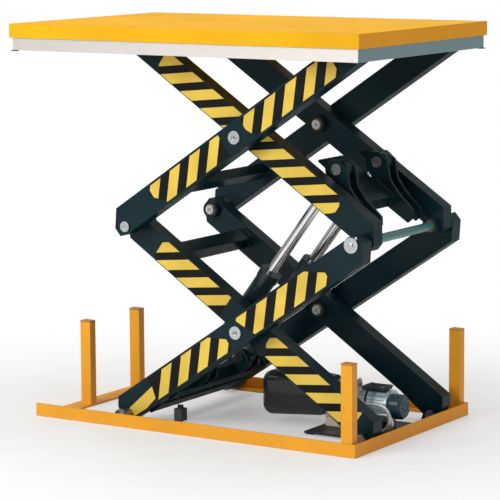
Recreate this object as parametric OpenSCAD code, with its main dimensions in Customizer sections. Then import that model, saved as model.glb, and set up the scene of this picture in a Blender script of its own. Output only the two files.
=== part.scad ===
// Double scissor hydraulic lift table: fixed base with four support posts,
// two stacked scissor pairs, two hydraulic cylinders, power pack in the base,
// raised platform with a perimeter safety bar.
// Millimetres, +Z up, +X (right) towards the hinged (power pack) end, front is -Y,
// origin on the floor under the middle of the platform.

/* [Platform] */
// Length of the platform along X
plat_l = 1300; // [1250:5:1400]
// Width of the platform across Y
plat_w = 822; // [815:1:900]
// Thickness of the deck plate
plate_t = 5; // [4:1:5]
// Height of the folded edge around the deck
skirt_h = 45; // [35:1:60]
// Depth of the safety bar's lower edge below the deck
bar_drop = 85; // [75:1:90]

/* [Scissors] */
// Pin to pin length of every scissor arm
arm_l = 1040; // [1040:1:1040]
// Angle of the arms to the floor; the raised height is the default
lift_angle = 36.2; // [7.5:0.1:36.2]
// Height of the outer arm profile
outer_h = 91; // [80:1:91]
// Height of the inner arm profile
inner_h = 84; // [76:1:84]
// Thickness of an arm across Y
arm_t = 55; // [50:1:55]
// Wall of the arm box profile
arm_wall = 5; // [4:1:6]
// Radius of the pivot pins
pin_r = 15; // [12:0.5:15]

/* [Base] */
// Left end of the base along X
base_x0 = -600; // [-610:1:-595]
// Right end of the base along X
base_x1 = 613; // [612:1:620]
// Width of the base across Y
base_w = 739; // [735:1:745]
// Height of the base rails
rail_h = 42; // [36:1:44]
// Height of the four support posts with their caps
post_h = 289; // [280:1:289]

/* [Cylinders] */
// Distance of each cylinder from the middle plane
cyl_y = 127; // [126:1:128]
// Radius of the chromed piston rod
rod_r = 17.5; // [14:0.5:18]
// Outer radius of the cylinder barrel
barrel_r = 33; // [31:1:33]

/* [Safety tape] */
// Pitch of the diagonal stripes along an arm
tape_pitch = 91; // [84:1:100]
// Width of one bright stripe along an arm
tape_w = 49; // [35:1:55]

/* [Hidden] */
$fn = 64;

YELLOW = [0.93, 0.65, 0.10];
DARK = [0.06, 0.14, 0.16];
STEEL = [0.78, 0.79, 0.80];
BLACK = [0.07, 0.07, 0.08];
ALU = [0.72, 0.76, 0.78];
TAPE = [0.92, 0.78, 0.28];
BROWN = [0.62, 0.36, 0.12];
BRONZE = [0.72, 0.52, 0.25];
CREAM = [0.88, 0.85, 0.78];
HOSE_GREY = [0.75, 0.76, 0.78];
CHROME = [0.86, 0.87, 0.89];

gap = 0.05;                  // running clearance of every pin
half_arm = arm_l / 2;
base_half_w = base_w / 2;
deck_half_w = plat_w / 2;
deck_half_l = plat_l / 2;

// Pivot lines in X and Z
hinge_x = 570;               // fixed pivots of the base and of the platform
hinge_z = 30;                // pivot height above the floor and below the deck
centre_x = hinge_x - half_arm * cos(lift_angle);
roller_x = hinge_x - arm_l * cos(lift_angle);
half_rise = half_arm * sin(lift_angle);
lower_z = hinge_z + half_rise;          // centre pivots of the lower pair
upper_z = hinge_z + 3 * half_rise;      // centre pivots of the upper pair
deck_pivot_z = hinge_z + 4 * half_rise;
deck_z = deck_pivot_z + hinge_z;        // top of the deck

// Arms lie between these distances from the middle plane
inner_y0 = 197;
inner_y1 = inner_y0 + arm_t;
outer_y0 = 262;
outer_y1 = outer_y0 + arm_t;

// Radii of the pivot parts
bush_r = pin_r + 4;
shaft_r = pin_r - 1;         // shaft through the right middle joints
axle_r = 12.5;               // roller axles and platform pins
cyl_pin_r = 12.5;
collar_r = 18;
spacer_r = 27;

// ------------------------------------------------------------- helpers
// Places its children in the frame of an arm or link at a point, turned up by an angle
module at(x, z, angle) translate([x, 0, z]) rotate([0, -angle, 0]) children();
// Mirrors its children to both sides of the middle plane
module both() for (m = [0, 1]) mirror([0, m, 0]) children();
// A plate drawn in X and Z, lying between two distances y0 and y1
module slab(y0, y1) translate([0, y1, 0]) rotate([90, 0, 0]) linear_extrude(y1 - y0) children();
// Round bars along X and along Y
module rod_x(x0, x1, r, y = 0, z = 0)
  translate([x0, y, z]) rotate([0, 90, 0]) cylinder(h = x1 - x0, r = r);
module rod_y(x, z, r, y0, y1)
  translate([x, y0, z]) rotate([-90, 0, 0]) cylinder(h = y1 - y0, r = r);
// A ring around Y
module ring(x, z, outer_r, bore_r, y0, y1) difference() {
  rod_y(x, z, outer_r, y0, y1);
  rod_y(x, z, bore_r, y0 - 1, y1 + 1);
}
// A collar joined to an axle or a cylinder pin
module collar(x, z, y0, y1) ring(x, z, collar_r, axle_r - 0.1, y0, y1);
// A block centred on X and Y
module centred_block(l, w, z0, h) translate([-l / 2, -w / 2, z0]) cube([l, w, h]);

// ---------------------------------------------------------------- base
sheet_t = 5;                 // thickness of the rails and the floor bars
flange_w = 50;               // inward flange that carries the rollers
end_flange_w = 55;
end_bar_w = 72;
post_places = [[580, base_half_w - 20], [-552, 142]];
post_l = 40;
post_w = 30;
post_wall = 3;
cap_t = 6;
bracket_ys = [184, 255];
bracket_t = 10;

module base_frame() color(YELLOW) difference() {
  union() {
    // side rails: upright web and inward flange
    both() {
      translate([base_x0, base_half_w - sheet_t, 0]) cube([base_x1 - base_x0, sheet_t, rail_h]);
      translate([base_x0, base_half_w - flange_w, 0])
        cube([base_x1 - base_x0, flange_w - 4, sheet_t]);
    }
    // right end rail
    translate([base_x1 - sheet_t, 1 - base_half_w, 0]) cube([sheet_t, base_w - 2, rail_h]);
    translate([base_x1 - end_flange_w, 1 - base_half_w, 0])
      cube([end_flange_w - 4, base_w - 2, sheet_t]);
    // left end is a thin flat bar on the floor
    translate([base_x0, 1 - base_half_w, 0]) cube([end_bar_w, base_w - 2, sheet_t]);
    // feet beside the hinge brackets
    both() translate([528, 180, 0]) cube([32, 92, sheet_t]);
  }
  // floor anchor holes
  for (x = [base_x0 + 40, 500]) both() translate([x, base_half_w - 25, -1]) cylinder(h = 8, r = 7);
}

// Repeats its children at the four posts
module at_posts() both() for (p = post_places) translate([p[0], p[1], 0]) children();

module support_posts() color(YELLOW) at_posts() difference() {
  centred_block(post_l, post_w, sheet_t, post_h - cap_t - sheet_t);
  centred_block(post_l - 2 * post_wall, post_w - 2 * post_wall, 4, post_h);
}

module post_caps() color(BROWN) at_posts() difference() {
  union() {
    centred_block(post_l, post_w, post_h - cap_t, cap_t);
    // hollow plug inside the tube
    centred_block(post_l - 2 * post_wall - 0.2, post_w - 2 * post_wall - 0.2, post_h - 18, 12.5);
  }
  centred_block(28, 18, post_h - 19, 11);
}

module base_pivot_brackets() color(DARK) both() for (y = bracket_ys) difference() {
  union() {
    slab(y, y + bracket_t) polygon([
      [hinge_x - 34, sheet_t], [hinge_x + 34, sheet_t],
      [hinge_x + 20, hinge_z + 14], [hinge_x - 20, hinge_z + 14]]);
    rod_y(hinge_x, hinge_z, 24, y, y + bracket_t);
  }
  rod_y(hinge_x, hinge_z, pin_r, y - 1, y + bracket_t + 1);
}

module base_pivot_pins() color(STEEL) both() {
  rod_y(hinge_x, hinge_z, pin_r, 180, 267);
  ring(hinge_x, hinge_z, 20, pin_r - 1, 265.05, 271);
}

// ---------------------------------------------------------- power pack
shaft_z = 88;                // shaft height of the motor and pump
pack_plate_t = 6;
pack_top = sheet_t + pack_plate_t;
filler_x = 200;
valve_x = 348;
valve_z = 100;
port_x = 356;                // hose ports on the front face of the manifold
// Hoses: port height, distance in front of the middle, start of the loop in X
hoses = [[78, 92, 560], [112, 110, 544]];
hose_r = 6;
elbow_r = 16;
hose_low_z = 26;             // height of the returning run
motor_x0 = 425.5;
motor_l = 112;
motor_flange_t = 10;

module power_pack_plate() color(BLACK) {
  translate([304, -160, sheet_t]) cube([290, 286, pack_plate_t]);
  // packers under the plate
  for (y = [-150, 96]) translate([304, y, 0]) cube([30, 24, sheet_t]);
  // cradle under the motor
  for (x = [452, 512]) difference() {
    translate([x, -44, pack_top]) cube([10, 88, 30]);
    rod_x(x - 1, x + 11, 53, z = shaft_z);
  }
}

module oil_tank() color(BLACK) difference() {
  union() {
    hull() for (x = [124, 300], y = [-51, 51], z = [62, 138])
      translate([x, y, z]) sphere(r = x < 200 ? 34 : 20, $fn = 32);
    translate([300, -70, 50]) cube([22, 140, 100]);
  }
  // inside, filler hole and opening to the manifold
  translate([129, -58, 55]) cube([161, 116, 98]);
  translate([filler_x, 0, 120]) cylinder(h = 70, r = 12);
  translate([280, -12, 80]) cube([60, 24, 24]);
}

module oil_filler_cap() color(BLACK) translate([filler_x, 0, 0]) {
  translate([0, 0, 150]) cylinder(h = 24, r = 11.9);
  // head with grip notches
  difference() {
    translate([0, 0, 172.3]) cylinder(h = 9, r = 17);
    for (a = [0 : 30 : 330]) rotate([0, 0, a]) translate([18.5, 0, 171]) cylinder(h = 12, r = 3);
  }
}

module manifold_block() color(ALU) difference() {
  translate([322, -60, 42]) cube([68, 120, 106]);
  // bores in the rear, top, front, end and bottom faces
  rod_y(valve_x, valve_z, 9, 30, 61);
  translate([valve_x, -20, 118]) cylinder(h = 31, r = 8);
  for (h = hoses) rod_y(port_x, h[0], 8.5, -61, -31);
  rod_x(321, 391, 8, z = 92);
  translate([340, 25, 41]) cylinder(h = 30, r = 7);
}

// Lowering valve on the rear face of the manifold, with a hand button on its end
module solenoid_valve() color(BLACK) difference() {
  union() {
    rod_y(valve_x, valve_z, 8.9, 31, 71);
    translate([valve_x - 20, 60, valve_z - 20]) cube([40, 38, 40]);
    translate([valve_x - 10, 66, valve_z + 20]) cube([20, 24, 16]);
    rod_y(valve_x, valve_z, 13, 98, 104);
  }
  rod_y(valve_x, valve_z, 6.06, 70, 110);
}

module lowering_button() color("red") {
  rod_y(valve_x, valve_z, 6, 78, 110);
  rod_y(valve_x, valve_z, 9, 108, 113);
}

module pump_housing() color(CREAM) difference() {
  union() {
    translate([324, -58, 12]) cube([62, 84, 29.5]);
    rod_x(391, 425, 44, z = shaft_z);
  }
  rod_x(390, 426, 16, z = shaft_z);
}

module motor_body() color(ALU) difference() {
  union() {
    rod_x(motor_x0, motor_x0 + motor_l, 46, z = shaft_z);
    // cooling fins along the shaft, left out under the terminal box
    for (a = [30 : 15 : 330]) translate([0, 0, shaft_z]) rotate([a, 0, 0])
      translate([428, -1.5, 44]) cube([107, 3, 8]);
    // end flanges
    for (x = [motor_x0, motor_x0 + motor_l - motor_flange_t])
      rod_x(x, x + motor_flange_t, 51, z = shaft_z);
  }
  rod_x(motor_x0 - 1.5, motor_x0 + motor_l + 1.5, 30, z = shaft_z);
}

module motor_cowl() color(DARK)
  translate([motor_x0 + motor_l + 0.5, 0, shaft_z]) rotate([0, 90, 0]) difference() {
    rotate_extrude() polygon([[0, 0], [40, 0], [40, 34], [33, 43], [0, 43]]);
    translate([0, 0, -1]) cylinder(h = 37, r = 33);
    // holes through the end face
    for (r = [11, 19, 27], a = [0 : 30 : 330])
      rotate([0, 0, a]) translate([r, 0, 34]) cylinder(h = 10, r = 2.2);
  }

module motor_terminal_box() color(BLACK) {
  translate([442, -30, 137]) cube([76, 60, 7]);
  translate([440, -32, 144]) cube([80, 64, 5]);
  // cable stub on the front side
  rod_y(476, 141, 4, -42, -29);
}

module pack_screws() color(STEEL) {
  // right end of the manifold
  for (y = [-46, 46], z = [52, 138]) rod_x(390.2, 396.2, 6, y, z);
  // lid of the terminal box
  for (x = [447, 513], y = [-26, 26]) translate([x, y, 149]) cylinder(h = 2.5, r = 3);
  // pack plate
  for (y = [-140, 100]) translate([580, y, pack_top]) cylinder(h = 7, r = 8, $fn = 6);
  // top of the manifold
  for (y = [16, 58]) translate([384, y, 148]) cylinder(h = 5, r = 5, $fn = 6);
}

// One hose: out of the manifold, along the plate, then looping down and back
module hose(port_z, front, loop_x) {
  loop_r = (port_z - hose_low_z) / 2;
  rod_y(port_x, port_z, hose_r, elbow_r - front, -70.9);
  // elbow towards +X
  translate([port_x + elbow_r, elbow_r - front, port_z]) rotate([0, 0, 180])
    rotate_extrude(angle = 90) translate([elbow_r, 0]) circle(r = hose_r);
  rod_x(port_x + elbow_r, loop_x, hose_r, -front, port_z);
  // half turn downwards
  translate([loop_x, -front, port_z - loop_r]) rotate([90, 0, 0]) rotate([0, 0, -90])
    rotate_extrude(angle = 180) translate([loop_r, 0]) circle(r = hose_r);
  rod_x(loop_x - 58, loop_x, hose_r, -front, hose_low_z);
}
module hydraulic_hoses() color(HOSE_GREY) for (h = hoses) hose(h[0], h[1], h[2]);

module hose_fittings() color(STEEL) for (h = hoses) {
  rod_y(port_x, h[0], 11, -70, -60, $fn = 6);
  rod_y(port_x, h[0], 8, -70.9, -69.9);
}

// --------------------------------------------------------- limit switch
switch_x = -40;
lever_z = 88;                // axis of the lever

module limit_switch_body() color(BLACK) difference() {
  union() {
    translate([switch_x - 14, -364.5, 42]) cube([28, 32.5, 40]);
    translate([switch_x - 11, -364.5, 20]) cube([22, 6, 24]);
    translate([switch_x - 6, -356, 80]) cube([12, 16, 12]);
  }
  rod_y(switch_x, lever_z, 2.6, -357, -337);
}

module limit_switch_lever() color(STEEL) {
  rod_y(switch_x, lever_z, 2.5, -362, -336);
  translate([switch_x, -361, lever_z]) cylinder(h = 62, r = 1.8);
  translate([switch_x, -361, lever_z + 62]) sphere(r = 3.5);
}

// -------------------------------------------------------- scissor parts
// Everything on an arm is placed in the arm's frame: s runs along the pin line from
// the centre pin, n across it. A pin index of -1, 0 or 1 means left, centre or right.
module lower_inner() at(centre_x, lower_z, -lift_angle) children();
module lower_outer() at(centre_x, lower_z, lift_angle) children();
module upper_inner() at(centre_x, upper_z, -lift_angle) children();
module upper_outer() at(centre_x, upper_z, lift_angle) children();

// A profile is [half height, offset at the centre pin, slope against the pin line].
// The slope lifts the floor end of an arm above its pin and drops the deck end below.
skew = 0.04;
inner_rise = 10;
inner_profile = [inner_h / 2, inner_rise, skew];
outer_profile = [outer_h / 2, 0, -skew];
function mid(profile, s) = profile[1] + profile[2] * s;
function top(profile, s) = mid(profile, s) + profile[0];
function low(profile, s) = mid(profile, s) - profile[0];

// Kinds of arm end
FLOOR = -1;
JOINT = 0;                   // between the two scissors
DECK = 1;
end_r = 22;
joint_r = 27;
boss_r = 28;
boss_y = 178;                // inner face of the bosses and bushes
cell_s = [50, half_arm - 150];  // span of the hollow cell in each half of an arm

// Outline of one end as [s, n] points, low to high; side is -1 or 1, s is taken outwards
function arm_end(profile, side, kind) =
  let (u = top(profile, side * (half_arm - 8)), d = low(profile, side * (half_arm - 8)))
  kind == FLOOR ? [[half_arm - 130, low(profile, side * (half_arm - 130))],
    [half_arm + 2, -end_r], [half_arm + end_r, 6], [half_arm + 16, u * 0.6], [half_arm - 4, u]]
  : kind == DECK ? [[half_arm - 6, d], [half_arm + end_r, -6], [half_arm + 2, end_r],
    [half_arm - 150, top(profile, side * (half_arm - 150))]]
  : -d > u ? [[half_arm - 6, d], [half_arm + 36, d * 0.25],
    [half_arm + 34, u * 0.6], [half_arm - 12, u]]
  : [[half_arm - 12, d], [half_arm + 34, d * 0.6],
    [half_arm + 36, u * 0.25], [half_arm - 6, u]];
function flip(points) = [for (i = [len(points) - 1 : -1 : 0]) [-points[i][0], points[i][1]]];

// ends holds the kinds of the left and right end
module arm_outline(profile, ends) {
  polygon(concat(arm_end(profile, 1, ends[1]), flip(arm_end(profile, -1, ends[0]))));
  for (i = [0, 1]) translate([(2 * i - 1) * half_arm, 0])
    circle(r = ends[i] == JOINT ? joint_r : end_r);
}

// One arm of box section; bores holds the left, centre and right pin radii
module arm(profile, y0, ends, bores) difference() {
  slab(y0, y0 + arm_t) arm_outline(profile, ends);
  for (cell = [[-cell_s[1], -cell_s[0]], cell_s]) {
    cell_mid = (cell[0] + cell[1]) / 2;
    slab(y0 + arm_wall, y0 + arm_t - arm_wall) polygon([
      [cell[0], low(profile, cell[0]) + arm_wall], [cell[1], low(profile, cell[1]) + arm_wall],
      [cell[1], top(profile, cell[1]) - arm_wall], [cell[0], top(profile, cell[0]) - arm_wall]]);
    // hole through the bottom wall into the cell
    translate([cell_mid, y0 + arm_t / 2, low(profile, cell_mid) - 3])
      cylinder(h = arm_wall + 5, r = 5);
  }
  for (k = [-1 : 1]) rod_y(k * half_arm, 0, bores[k + 1] + gap, y0 - 1, y0 + arm_t + 1);
}
module outer_arms(ends, bores) both() arm(outer_profile, outer_y0, ends, bores);
// Inner arms carry bosses on their inward faces at the bushed pins
module inner_arms(ends, bores, bushed) both() difference() {
  union() {
    arm(inner_profile, inner_y0, ends, bores);
    for (k = bushed) rod_y(k * half_arm, 0, boss_r, boss_y, inner_y0 + 0.5);
  }
  for (k = bushed) rod_y(k * half_arm, 0, bush_r + gap, boss_y - 1, inner_y1 + 1);
}
module bushes(k, bore_r) both() ring(k * half_arm, 0, bush_r, bore_r + gap, boss_y, inner_y1);

// A tube of box section across the middle, reaching to half_w on both sides
module cross_box(s0, s1, n0, n1, half_w, wall = 4) difference() {
  translate([s0, -half_w, n0]) cube([s1 - s0, 2 * half_w, n1 - n0]);
  translate([s0 + wall, -half_w - 1, n0 + wall])
    cube([s1 - s0 - 2 * wall, 2 * half_w + 2, n1 - n0 - 2 * wall]);
}

// Spacer between an inner and an outer arm
module spacer(k, bore_r) ring(k * half_arm, 0, spacer_r, bore_r + gap, inner_y1 + 0.1, outer_y0 - 0.1);
// Pins with a recessed head on the outer arms, and their spacers
module pivot_pins(k, head_r, head_t) both() {
  rod_y(k * half_arm, 0, pin_r, 172, outer_y1);
  difference() {
    rod_y(k * half_arm, 0, head_r, outer_y1, outer_y1 + head_t);
    rod_y(k * half_arm, 0, head_r * 0.4, outer_y1 + head_t - 2.5, outer_y1 + head_t + 1);
  }
  spacer(k, pin_r);
}
// Axles at the left ends, with a collar on the inward face of the arms
module roller_axles(y0, y1, arm_y0) both() {
  rod_y(-half_arm, 0, axle_r, y0, y1);
  collar(-half_arm, 0, y0, arm_y0 - 0.05);
}

// Rollers run on the base flange and under the deck; each face has a round groove
roller_r = 24.9;
roller_w = 34;
lower_roller_y = 322;
upper_roller_y = 257;
module roller(z, y0) difference() {
  rod_y(roller_x, z, roller_r, y0, y0 + roller_w);
  rod_y(roller_x, z, axle_r + gap, y0 - 1, y0 + roller_w + 1);
  for (y = [y0 - 1, y0 + roller_w - 3]) ring(roller_x, z, 21, 16, y, y + 4);
}

// ---------------------------------------------------------- safety tape
tape_t = 0.6;
inner_band = [39, inner_rise, skew];    // profiles of the taped bands
outer_band = [38, 0, -skew];
stripe_reach = 70;                      // half height of a stripe before it is trimmed

// Outline of a band over span [s0, s1]; cuts are the [along, across] sizes of its
// cut corners: low left, low right, top right, top left
module band(profile, span, cuts) {
  half_h = profile[0];
  polygon([for (p = [
    [span[0] + cuts[0][0], -half_h], [span[1] - cuts[1][0], -half_h],
    [span[1], cuts[1][1] - half_h], [span[1], half_h - cuts[2][1]],
    [span[1] - cuts[2][0], half_h], [span[0] + cuts[3][0], half_h],
    [span[0], half_h - cuts[3][1]], [span[0], cuts[0][1] - half_h]])
    [p[0], p[1] + mid(profile, p[0])]]);
}
// Stripes on an outward arm face at y; lean is their angle to the arm, first the
// place of the first stripe
module stripes(profile, y, lean, span, cuts, first, count) intersection() {
  slab(y, y + tape_t) band(profile, span, cuts);
  union() for (i = [0 : count - 1]) {
    s = first + i * tape_pitch;
    n = mid(profile, s);
    shift = stripe_reach / tan(lean);
    slab(y - 0.5, y + 1) polygon([
      [s - shift, n - stripe_reach], [s + tape_w - shift, n - stripe_reach],
      [s + tape_w + shift, n + stripe_reach], [s + shift, n + stripe_reach]]);
  }
}
module inner_stripes(span, cuts, first, count)
  stripes(inner_band, inner_y1, 41.5, span, cuts, first, count);
module outer_stripes(span, cuts, first, count)
  stripes(outer_band, outer_y1, 46, span, cuts, first, count);

// --------------------------------------------------- lower inner scissor
module lower_inner_arms() color(DARK) lower_inner()
  inner_arms([JOINT, FLOOR], [bush_r, bush_r, pin_r], [-1, 0]);

module lower_inner_cross_tube() color(DARK) lower_inner()
  cross_box(131 - half_arm, 181 - half_arm, -20, 24, inner_y0);

module lower_inner_bushes() color(BRONZE) lower_inner() for (k = [-1, 0]) bushes(k, pin_r);

module lower_inner_tape() color(TAPE) lower_inner() both() {
  inner_stripes([-408, -105], [[10, 12], [0, 0], [0, 0], [14, 16]], -437, 4);
  inner_stripes([80, 470], [[24, 39], [0, 0], [0, 0], [6, 10]], 53, 5);
}

// --------------------------------------------------- lower outer scissor
// Cylinder base pins, in the frame of the lower outer arms
base_pin_s = -300;
base_pin_n = 5;
saddle_t = 11;

module lower_outer_arms() color(DARK) lower_outer()
  outer_arms([FLOOR, JOINT], [axle_r, pin_r, pin_r]);

module lower_outer_cross_tubes() color(DARK) lower_outer() {
  cross_box(-475, -425, -30, 14, outer_y0);
  cross_box(-385, -335, -34, 6, outer_y0);
}

module lower_outer_tape() color(TAPE) lower_outer() both() {
  outer_stripes([-384, -43], [[0, 0], [0, 0], [56, 38], [0, 0]], -349, 4);
  outer_stripes([24, 391], [[36, 66], [12, 14], [62, 40], [0, 0]], -6, 5);
  // long closing stripe at the roller end
  slab(outer_y1, outer_y1 + tape_t)
    polygon([[-502, 13], [-502, -18], [-440, -22], [-392, -13], [-380, 25]]);
}

// Open-topped saddles that the cylinder base pins sit in
module cylinder_saddles() color(DARK) lower_outer() both()
  for (y = [cyl_y - 32, cyl_y + 21]) difference() {
    slab(y, y + saddle_t) polygon([[-334.9, -34], [-290, -34], [-276, -20], [-276, 26],
      [-290, 44], [-350, 44], [-350, 8], [-334.9, 6.1]]);
    rod_y(base_pin_s, base_pin_n, 14, y - 1, y + saddle_t + 1);
    slab(y - 1, y + saddle_t + 1) polygon([
      [base_pin_s - 20, base_pin_n], [base_pin_s + 14, base_pin_n], [base_pin_s + 12, 46],
      [base_pin_s - 35, 46], [base_pin_s - 35, base_pin_n + 28]]);
  }

module lower_centre_pins() color(STEEL) lower_outer() pivot_pins(0, 21, 5);

module right_mid_shaft() color(STEEL) lower_outer()
  rod_y(half_arm, 0, shaft_r, -outer_y1 - 2, outer_y1 + 2);

module right_mid_washers() color(STEEL) lower_outer() both() {
  // closed end cap over the shaft
  difference() {
    rod_y(half_arm, 0, 24, outer_y1, outer_y1 + 6);
    rod_y(half_arm, 0, shaft_r + gap, outer_y1 - 1, outer_y1 + 3);
  }
  spacer(1, shaft_r);
}

module lower_roller_axles() color(STEEL) lower_outer() roller_axles(256, 360, outer_y0);
module lower_front_roller() color(STEEL) mirror([0, 1, 0]) roller(hinge_z, lower_roller_y);
module lower_rear_roller() color(STEEL) roller(hinge_z, lower_roller_y);

// --------------------------------------------------- upper outer scissor
module upper_outer_arms() color(DARK) upper_outer()
  outer_arms([JOINT, DECK], [pin_r, pin_r, axle_r]);

module upper_outer_cross_tube() color(DARK) upper_outer()
  cross_box(183 - half_arm, 233 - half_arm, -6, 28, outer_y0);

module upper_outer_tape() color(TAPE) upper_outer() both() {
  outer_stripes([-368, -47], [[36, 38], [0, 0], [0, 0], [0, 0]], -392, 4);
  outer_stripes([50, 430], [[20, 36], [0, 0], [30, 24], [0, 0]], 35, 5);
}

module upper_centre_pins() color(STEEL) upper_outer() pivot_pins(0, 21, 5);
module left_mid_pins() color(STEEL) upper_outer() pivot_pins(-1, 17, 4);

// --------------------------------------------------- upper inner scissor
// Cylinder upper pins, in the frame of the upper inner arms
top_pin_s = 280;
top_pin_n = 80;
lug_t = 11;

module upper_inner_arms() color(DARK) upper_inner()
  inner_arms([DECK, JOINT], [axle_r, bush_r, bush_r], [0, 1]);

module upper_inner_torsion_box() color(DARK) upper_inner() {
  // torsion box between the arms, where the cylinder lugs sit
  cross_box(305, 395, -10, 34, inner_y0, 5);
  // cover plates from the box towards the centre pins: one in the middle, one each side
  translate([182, -84, 24]) cube([123, 168, 8]);
  both() translate([182, 166, 24]) cube([123, inner_y0 - 166, 8]);
  // tie across the roller end
  cross_box(-465, -415, -10, 24, inner_y0);
}

module upper_inner_bushes() color(BRONZE) upper_inner() {
  bushes(0, pin_r);
  bushes(1, shaft_r);
}

module upper_inner_tape() color(TAPE) upper_inner() both() {
  // cut round to clear the spacer on the centre pin
  difference() {
    inner_stripes([-388, -6], [[16, 24], [0, 0], [0, 0], [16, 20]], -410, 5);
    rod_y(0, 0, 29, inner_y1 - 1, inner_y1 + 2);
  }
  inner_stripes([44, 391], [[0, 0], [22, 28], [20, 26], [0, 0]], -6, 5);
}

module cylinder_upper_lugs() color(DARK) upper_inner() both()
  for (y = [cyl_y - 31, cyl_y + 20]) difference() {
    slab(y, y + lug_t) polygon([[304.9, 34], [304.9, 24], [262, 40], [240, 62], [242, 92],
      [262, 108], [304, 106], [348, 64], [396, 48], [470, 40],
      [486, 20], [480, -6], [396, -10], [395.1, -10], [395.1, 34.1]]);
    rod_y(top_pin_s, top_pin_n, cyl_pin_r + gap, y - 1, y + lug_t + 1);
  }

module cylinder_upper_pins() color(STEEL) upper_inner() both() {
  rod_y(top_pin_s, top_pin_n, cyl_pin_r, cyl_y - 34, cyl_y + 34);
  for (y = [cyl_y - 36.5, cyl_y + 31.1]) collar(top_pin_s, top_pin_n, y, y + 5);
}

module upper_roller_axles() color(STEEL) upper_inner() roller_axles(190, 296, inner_y0);
module upper_front_roller() color(STEEL) mirror([0, 1, 0]) roller(deck_pivot_z, upper_roller_y);
module upper_rear_roller() color(STEEL) roller(deck_pivot_z, upper_roller_y);

// -------------------------------------------------------------- cylinders
top_pin_x = centre_x + top_pin_s * cos(lift_angle) + top_pin_n * sin(lift_angle);
top_pin_z = upper_z - top_pin_s * sin(lift_angle) + top_pin_n * cos(lift_angle);
base_pin_x = centre_x + base_pin_s * cos(lift_angle) - base_pin_n * sin(lift_angle);
base_pin_z = lower_z + base_pin_s * sin(lift_angle) + base_pin_n * cos(lift_angle);
cyl_angle = atan2(top_pin_z - base_pin_z, top_pin_x - base_pin_x);
gland_end = 430;             // lower pin to the outer face of the gland
barrel_end = 400;
rod_len = 565;               // upper pin to the piston face
piston_l = 30;
eye_half_w = 19;

// Both cylinders' frames: origin at the upper or base pin, +X along the rod and upwards
module from_top() at(top_pin_x, top_pin_z, cyl_angle) both() translate([0, cyl_y, 0]) children();
module from_base() at(base_pin_x, base_pin_z, cyl_angle) both() translate([0, cyl_y, 0]) children();

module piston_rods() color(CHROME) from_top() {
  rod_x(piston_l - rod_len, -29, rod_r);
  rod_x(-rod_len, piston_l - rod_len, 26.5);
}

module rod_eyes() color(DARK) from_top() difference() {
  union() {
    rod_y(0, 0, 30, -eye_half_w, eye_half_w);
    // socket for the rod, flattened to the width of the eye
    intersection() {
      rod_x(-44, -10, 24);
      translate([-50, -eye_half_w, -30]) cube([50, 2 * eye_half_w, 60]);
    }
  }
  rod_y(0, 0, cyl_pin_r + gap, -26, 26);
  rod_x(-46, -28.9, rod_r + gap);
}

module cylinder_barrels() color(BLACK) from_base() difference() {
  union() {
    rod_x(40, barrel_end, barrel_r);
    // oil port block near the base
    translate([56, -12, 20]) cube([26, 24, 24]);
  }
  rod_x(46, barrel_end + 1, 27);
  translate([69, 0, 20]) cylinder(h = 30, r = 6);
}

module cylinder_glands() color(BLACK) from_base() difference() {
  union() {
    rod_x(barrel_end + 0.05, gland_end, 36);
    rod_x(380, barrel_end + 1, 26.9);
  }
  rod_x(378, gland_end + 2, rod_r + gap);
  // four blind holes in the outer face
  for (a = [45 : 90 : 315]) rotate([a, 0, 0]) rod_x(gland_end - 4, gland_end + 2, 3, z = 29);
}

module cylinder_base_eyes() color(DARK) from_base() {
  difference() {
    union() {
      rod_y(0, 0, 27, -eye_half_w, eye_half_w);
      rod_x(10, 39.95, 20);
    }
    rod_y(0, 0, cyl_pin_r, -26, 26);
  }
  // base pin, a hair under its bore
  rod_y(0, 0, cyl_pin_r - 0.05, -37, 37);
}

// --------------------------------------------------------------- platform
skirt_t = 4;
edge_rib_y = 380;            // middle of the open channels along the sides
rib_h = 25;
bar_y = deck_half_w - 8;     // outer faces of the safety bar
bar_x = deck_half_l - 8;
bar_h = 60;
bar_t = 3;
bar_flange_w = 20;
hanger_places = [for (s = [-1, 1], x = [-480, 0, 480]) [x, s * (bar_y - 13)]];

module platform_deck() color(YELLOW) {
  translate([-deck_half_l, -deck_half_w, deck_z - plate_t]) cube([plat_l, plat_w, plate_t]);
  difference() {
    translate([-deck_half_l, -deck_half_w, deck_z - skirt_h])
      cube([plat_l, plat_w, skirt_h - plate_t + 0.5]);
    translate([skirt_t - deck_half_l, skirt_t - deck_half_w, deck_z - skirt_h - 1])
      cube([plat_l - 2 * skirt_t, plat_w - 2 * skirt_t, skirt_h]);
  }
}

module platform_stiffeners() color(YELLOW) translate([0, 0, deck_z - plate_t]) difference() {
  union() {
    for (s = [-1, 1]) translate([-600, s * edge_rib_y - 12, -rib_h]) cube([1140, 24, rib_h]);
    for (x = [-636, 612]) translate([x, -388, -rib_h]) cube([24, 776, rib_h]);
    for (y = [-52, 46]) translate([-320, y, -22]) cube([900, 6, 22]);
  }
  for (s = [-1, 1]) translate([-601, s * edge_rib_y - 9, -28]) cube([1142, 18, 24.5]);
}

module platform_pivot_brackets() color(YELLOW) both() for (y = [[248, 258], [319, 328]])
  difference() {
    union() {
      slab(y[0], y[1]) polygon([
        [hinge_x - 34, deck_z - plate_t], [hinge_x + 34, deck_z - plate_t],
        [hinge_x + 20, deck_pivot_z - 12], [hinge_x - 20, deck_pivot_z - 12]]);
      rod_y(hinge_x, deck_pivot_z, 22, y[0], y[1]);
    }
    rod_y(hinge_x, deck_pivot_z, axle_r + 0.01, y[0] - 1, y[1] + 1);
  }

module platform_pivot_pins() color(STEEL) both() {
  rod_y(hinge_x, deck_pivot_z, axle_r, 244, 331.5);
  collar(hinge_x, deck_pivot_z, 328.05, 331.5);
}

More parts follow.
